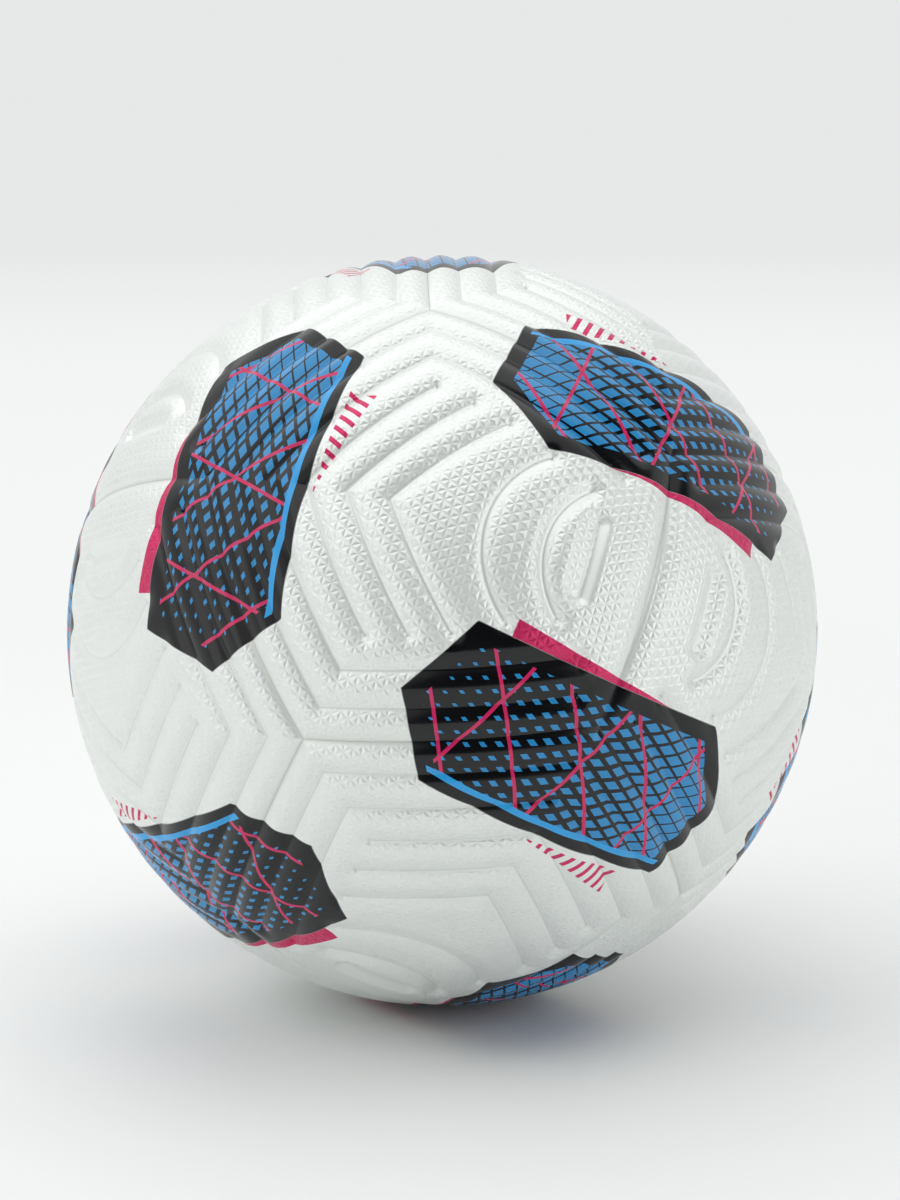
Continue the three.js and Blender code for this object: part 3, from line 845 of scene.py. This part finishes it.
# %% Rubber
MARK_SPACING, BLOOM_SIZE = 0.35, 1.111
RUBBER_BLACK, RUBBER_BLOOM = "#1b1b1d", "#2c2c2e"
rubber, tree = new_material("Moulded_black_natural_rubber")
place = add(tree, "ShaderNodeTexCoord").outputs["Object"]
bloom = add(tree, "ShaderNodeTexNoise", {"Vector": place, "Scale": 1 / (BLOOM_SIZE * MM), "Detail": 4.0})
along = add(tree, "ShaderNodeVectorMath", {0: place, 1: valve_axes[:, 2].tolist()},
            operation="DOT_PRODUCT").outputs["Value"]
from_middle = add(tree, "ShaderNodeVectorMath", {0: place}, operation="LENGTH").outputs["Value"]
squares = [add(tree, "ShaderNodeMath", {0: x, 1: 2.0}, operation="POWER") for x in (from_middle, along)]
from_axis = add(tree, "ShaderNodeMath", {0: squares[0], 1: squares[1]}, operation="SUBTRACT")
from_axis = add(tree, "ShaderNodeMath", {0: from_axis}, operation="SQRT")
marks = add(tree, "ShaderNodeMath", {0: from_axis, 1: MARK_SPACING * MM / 2}, operation="PINGPONG")
close_material(tree, bloom, (linear(RUBBER_BLACK), linear(RUBBER_BLOOM)),
               roughness=(0.3, 0.7, 0.42, 0.6), bump=(marks, 1.0, 0.2), ior=1.52)
plug_mesh.materials.append(rubber)
dress("valve_boss", rubber)
print("rubber with marks", MARK_SPACING, "mm apart")

# %% [markdown]
# ## Foam under the covers
#
# Each cover is backed by a pad of closed-cell polyethylene foam, cut from sheet. Its skin is matt and
# shows fine round cells. An image would repeat, so a cell texture gives it small pits and a grey
# mottle. The cells are 0.9 mm across, coarser than the real ones so that they show.

# %% Foam
CELL_SIZE, CELL_DEPTH = 0.9, 0.2
CELL_GREY, CELL_EDGE = "#8a8e92", "#a3a7aa"
foam, tree = new_material("Closed_cell_polyethylene_foam")
place = add(tree, "ShaderNodeTexCoord").outputs["Object"]
cells = add(tree, "ShaderNodeTexVoronoi", {"Vector": place, "Scale": 1 / (CELL_SIZE * MM)})
cells = cells.outputs["Distance"]
close_material(tree, cells, (linear(CELL_GREY), linear(CELL_EDGE)),
               roughness=(0.0, 0.8, 0.95, 0.8), bump=(cells, CELL_DEPTH * MM, 0.8), ior=1.5)
for index in range(len(panel_frames)):
    dress(f"panel_foam_{index + 1:02d}", foam)
print("foam on", len(panel_frames), "pads, cells", CELL_SIZE, "mm across")

# %% [markdown]
# ## Carcass of wound yarn and latex
#
# Under the foam lies the carcass: polyester yarn and textile bonded with latex, which keeps the ball
# round. The yarn could be modelled thread by thread, but it is hidden until a panel is lifted off. So
# two families of lines 1.1 mm apart cross over each other as a bump, and the latex between them is a
# little yellower and smoother.

# %% Carcass
YARN_SPACING, YARN_HEIGHT, PATCH_SIZE = 1.1, 0.25, 16.667
YARN_ACROSS = ((0.8, 0.6, 0.0), (-0.5, 0.6, 0.62))
YARN_PALE, YARN_DARK, LATEX = "#e2dccd", "#cfc6b0", "#b9a987"
carcass, tree = new_material("Polyester_yarn_bonded_with_latex")
place = add(tree, "ShaderNodeTexCoord").outputs["Object"]
yarn = line_families(tree, place, [(vector, YARN_SPACING * MM) for vector in YARN_ACROSS], "MAXIMUM")
yarn = add(tree, "ShaderNodeMapRange", {0: yarn, 1: 0.0, 2: YARN_SPACING * MM / 2, 3: 0.0, 4: 1.0})
patch = add(tree, "ShaderNodeTexNoise", {"Vector": place, "Scale": 1 / (PATCH_SIZE * MM), "Detail": 3.0})
thread = add(tree, "ShaderNodeMix", {0: patch, 6: linear(YARN_PALE), 7: linear(YARN_DARK)},
             data_type="RGBA").outputs[2]
close_material(tree, yarn, (linear(LATEX), thread),
               roughness=(0.0, 1.0, 0.5, 0.85), bump=(yarn, YARN_HEIGHT * MM, 0.9), ior=1.5)
dress("textile_carcass", carcass)
print("carcass yarn", YARN_SPACING, "mm apart")

# %% [markdown]
# ## Butyl bladder
#
# The bladder is moulded from butyl rubber and dusted with talc so that it doesn't stick to the
# carcass. Talc gives the black skin pale clouds and takes its gloss away in patches. Dust follows no
# pattern, so noise draws the clouds, and a finer noise the pores of the skin.

# %% Bladder
PORE_SIZE, PORE_DEPTH = 0.7, 0.05
TALC_SIZE, TALC_FROM, TALC_TO, TALC_MOST = 22.222, 0.45, 0.75, 0.5
BUTYL_BLACK, TALC_GREY = "#242427", "#8f8f90"
butyl, tree = new_material("Butyl_rubber_dusted_with_talc")
place = add(tree, "ShaderNodeTexCoord").outputs["Object"]
talc = add(tree, "ShaderNodeTexNoise", {
    "Vector": place, "Scale": 1 / (TALC_SIZE * MM), "Detail": 6.0, "Roughness": 0.65})
talc = add(tree, "ShaderNodeMapRange", {0: talc, 1: TALC_FROM, 2: TALC_TO, 3: 0.0, 4: TALC_MOST})
pores = add(tree, "ShaderNodeTexNoise", {"Vector": place, "Scale": 1 / (PORE_SIZE * MM), "Detail": 2.0})
close_material(tree, talc, (linear(BUTYL_BLACK), linear(TALC_GREY)),
               roughness=(0.0, TALC_MOST, 0.45, 0.85), bump=(pores, PORE_DEPTH * MM, 0.6), ior=1.51)
dress("bladder", butyl)
print("bladder talc clouds about", round(TALC_SIZE), "mm wide")

# %% [markdown]
# ## Low-bounce filling
#
# A futsal ball carries a loose wad of fibre in its bladder, which damps the bounce. Its short polyester
# fibres lie every way. They could be hair, but the wad is hidden, so a bent noise draws strands about
# 0.6 mm wide, coarser than the real ones so that they show. There is no gloss.

# %% Filling
STRAND_PITCH, STRAND_HEIGHT, STRAND_BEND, SWIRL_SIZE = 1.2, 0.6, 0.03, 12.5
FIBRE_SHADE, FIBRE_PALE = "#a39e93", "#cfcabf"
wad, tree = new_material("Loose_polyester_fibre_wad")
place = add(tree, "ShaderNodeTexCoord").outputs["Object"]
swirl = add(tree, "ShaderNodeTexNoise", {"Vector": place, "Scale": 1 / (SWIRL_SIZE * MM), "Detail": 2.0})
bent = add(tree, "ShaderNodeVectorMath", {0: swirl.outputs["Color"], 1: (STRAND_BEND,) * 3, 2: place},
           operation="MULTIPLY_ADD")
strands = add(tree, "ShaderNodeTexNoise", {
    "Vector": bent, "Scale": 1 / (STRAND_PITCH * MM), "Detail": 5.0, "Roughness": 0.7})
close_material(tree, strands, (linear(FIBRE_SHADE), linear(FIBRE_PALE)),
               roughness=(0.3, 0.7, 1.0, 0.85), bump=(strands, STRAND_HEIGHT * MM, 0.9), ior=1.5)
dress("low_bounce_filling", wad)
print("filling strands about", STRAND_PITCH / 2, "mm wide")

# %% [markdown]
# ## The floor
#
# The ball lies in a plain pale studio, on a floor that takes its shadow. A square would do as well, but
# a large disc ends at the same distance on every side, so no corner shows in any view.

# %% Floor
FLOOR_HEIGHT = -0.1003
FLOOR_RADII, FLOOR_SIDES = (0.2, 0.5, 1.0, 2.0, 4.0, 8.0, 14.0), 64
floor_points = [(0, 0, FLOOR_HEIGHT)]
for radius in FLOOR_RADII:
    for k in range(FLOOR_SIDES):
        turn = 2 * math.pi * k / FLOOR_SIDES
        floor_points.append((radius * math.cos(turn), radius * math.sin(turn), FLOOR_HEIGHT))
floor_faces = [(0, 1 + k, 1 + (k + 1) % FLOOR_SIDES) for k in range(FLOOR_SIDES)]
for j in range(len(FLOOR_RADII) - 1):
    near, away = 1 + j * FLOOR_SIDES, 1 + (j + 1) * FLOOR_SIDES
    for k in range(FLOOR_SIDES):
        following = (k + 1) % FLOOR_SIDES
        floor_faces.append((near + k, away + k, away + following, near + following))
floor_mesh = bpy.data.meshes.new("studio_floor")
floor_mesh.from_pydata(floor_points, [], floor_faces)
floor = in_scene("studio_floor", floor_mesh)
print("floor at", FLOOR_HEIGHT, "m")

# %% [markdown]
# ## The floor's fade
#
# A white studio hides its horizon with a curved backdrop, but that suits one view only. Here the floor
# does it for all views: near the ball it is matt card, and farther off it glows with a tone that goes
# over to the background's own. Only camera, glossy and transmission rays see the glow, so it doesn't
# light the ball. Distances are in metres.

# %% Floor material
BACKDROP = "#e7e8e8"
CARD_WHITE, FADE_WHITE = "#f1f2f1", "#f5f7f6"
CARD_ROUGHNESS, CARD_IOR = 0.6, 1.3
FADE_FROM, FADE_TO = 0.3, 0.75
BACKDROP_FROM, BACKDROP_TO = 0.8, 6.0
card, tree = new_material("Matt_white_studio_card")
place = add(tree, "ShaderNodeTexCoord").outputs["Object"]
reach = add(tree, "ShaderNodeVectorMath", {0: place}, operation="LENGTH").outputs["Value"]
far, deep = (
    add(tree, "ShaderNodeMapRange", {0: reach, 1: first, 2: last, 3: 0.0, 4: 1.0},
        interpolation_type="SMOOTHSTEP")
    for first, last in ((FADE_FROM, FADE_TO), (BACKDROP_FROM, BACKDROP_TO)))
tone = add(tree, "ShaderNodeMix", {0: deep, 6: linear(FADE_WHITE), 7: linear(BACKDROP)},
           data_type="RGBA").outputs[2]
path = add(tree, "ShaderNodeLightPath").outputs
seen = path["Is Camera Ray"]
for ray in ("Is Glossy Ray", "Is Transmission Ray"):
    seen = add(tree, "ShaderNodeMath", {0: seen, 1: path[ray]}, operation="MAXIMUM")
share = add(tree, "ShaderNodeMath", {0: far, 1: seen}, operation="MULTIPLY")
matt = add(tree, "ShaderNodeBsdfPrincipled", {
    "Base Color": linear(CARD_WHITE), "Roughness": CARD_ROUGHNESS, "IOR": CARD_IOR})
glow = add(tree, "ShaderNodeEmission", {"Color": tone, "Strength": 1.0})
both = add(tree, "ShaderNodeMixShader", {0: share, 1: matt, 2: glow})
add(tree, "ShaderNodeOutputMaterial", {0: both})
floor_mesh.materials.append(card)
print("floor fades from", FADE_FROM, "to", BACKDROP_TO, "m")

# %% [markdown]
# ## The studio's air
#
# The photograph has an even, pale background and no hard light, as in a white studio. The world could
# be a photographed room, but one plain tone is enough: it lights the ball from all round, and gloss
# mirrors the same tone that the camera sees.

# %% World
world = bpy.data.worlds.new("studio_air")
bpy.context.scene.world = world
world.use_nodes = True
tree = world.node_tree
tree.nodes.clear()
air = add(tree, "ShaderNodeBackground", {"Color": linear(BACKDROP), "Strength": 1.0})
add(tree, "ShaderNodeOutputWorld", {0: air})
print("backdrop", BACKDROP)

# %% [markdown]
# ## A black curtain behind the camera
#
# Glossy ink looks black only where it has something dark to mirror, so a photographer hangs a curtain
# behind the camera. It also takes light away from the ball's near side, which makes the embossing
# read. The world could be darker on that side, but then some views would have a dark background. So it
# is a bent sheet with folds, hidden from the camera alone, and gloss and shade still answer to it.

# %% Curtain
CURTAIN_RADIUS, CURTAIN_TOP = 2.0, 2.2
CURTAIN_MIDDLE, CURTAIN_SPREAD = -62.0, 62.0
FOLDS, FOLD_DEPTH, FOLD_STEPS = 18, 0.04, 8
columns = FOLDS * FOLD_STEPS + 1
curtain_points = []
for level in (FLOOR_HEIGHT, CURTAIN_TOP):
    for share in np.linspace(0, 1, columns):
        turn = math.radians(CURTAIN_MIDDLE + CURTAIN_SPREAD * (2 * share - 1))
        radius = CURTAIN_RADIUS + FOLD_DEPTH * math.sin(2 * math.pi * FOLDS * share)
        curtain_points.append((radius * math.cos(turn), radius * math.sin(turn), level))
curtain_mesh = bpy.data.meshes.new("studio_curtain")
curtain_mesh.from_pydata(curtain_points, [], [
    (k, k + 1, columns + k + 1, columns + k) for k in range(columns - 1)])
curtain_mesh.shade_smooth()
curtain = in_scene("studio_curtain", curtain_mesh)
curtain.visible_camera = False
print("curtain:", FOLDS, "folds,", 2 * CURTAIN_SPREAD, "degrees round")

# %% [markdown]
# ## Wool serge
#
# Studio curtains are wool serge, a cloth with a soft nap that takes light in. It has no gloss, and its
# black varies a little with the nap.

# %% Curtain material
SERGE_BLACK, SERGE_NAP, NAP_SIZE = "#161617", "#242426", 25.0
serge, tree = new_material("Black_wool_serge")
place = add(tree, "ShaderNodeTexCoord").outputs["Object"]
nap = add(tree, "ShaderNodeTexNoise", {"Vector": place, "Scale": 1 / (NAP_SIZE * MM), "Detail": 3.0})
tint = add(tree, "ShaderNodeMix", {0: nap, 6: linear(SERGE_BLACK), 7: linear(SERGE_NAP)},
           data_type="RGBA").outputs[2]
cloth = add(tree, "ShaderNodeBsdfDiffuse", {"Color": tint})
add(tree, "ShaderNodeOutputMaterial", {0: cloth})
curtain_mesh.materials.append(serge)
print("curtain cloth", SERGE_BLACK, "to", SERGE_NAP)

# %% [markdown]
# ## Lamps
#
# The photograph's shadow is broad and soft. A small lamp or a sun would give it a hard edge, so the
# sources are large: a softbox overhead, and two smaller ones beside the camera that give the star grain
# its points of light. All are turned to the ball's middle. They stay at a level at which a colour
# renders about as it is written.

# %% Lamps
# Name, place in metres, side of the square in metres and power in watts
SOFTBOXES = (
    ("overhead_softbox", (-0.25, 0.1, 1.3), 2.2, 11.5),
    ("right_softbox", (1.05, -0.6, 0.3), 0.9, 4.2),
    ("left_softbox", (-0.7, -1.0, 0.5), 1.2, 2.9),
)
for name, place, size, power in SOFTBOXES:
    lamp = bpy.data.lights.new(name, "AREA")
    lamp.size, lamp.energy = size, power
    held = in_scene(name, lamp)
    held.location = place
    x, y, z = place
    held.rotation_euler = (math.atan2(math.hypot(x, y), z), 0, math.atan2(-y, -x) - math.pi / 2)
print(len(SOFTBOXES), "lamps")

# %% [markdown]
# ## The camera
#
# The camera stands where the photograph's did. It could be placed by eye, but the seams tell more, so
# its place, tilt and focal length were fitted to them: a little above the ball's middle, looking down
# by nine degrees from 0.77 m.

# %% Camera
CAMERA_PLACE, CAMERA_DOWN = (0.0020735, -0.770744, 0.130226), 9
FOCAL_LENGTH, SENSOR_WIDTH = 87.07, 36
CLIP_NEAR, CLIP_FAR = 0.01, 60
camera = in_scene("camera", bpy.data.cameras.new("camera"))
camera.location = CAMERA_PLACE
camera.rotation_euler = (math.radians(90 - CAMERA_DOWN), 0, 0)
camera.data.lens, camera.data.sensor_width = FOCAL_LENGTH, SENSOR_WIDTH
camera.data.clip_start, camera.data.clip_end = CLIP_NEAR, CLIP_FAR
bpy.context.scene.camera = camera
bpy.context.scene.view_settings.view_transform = "Standard"
print("camera at", [round(x, 3) for x in camera.location])
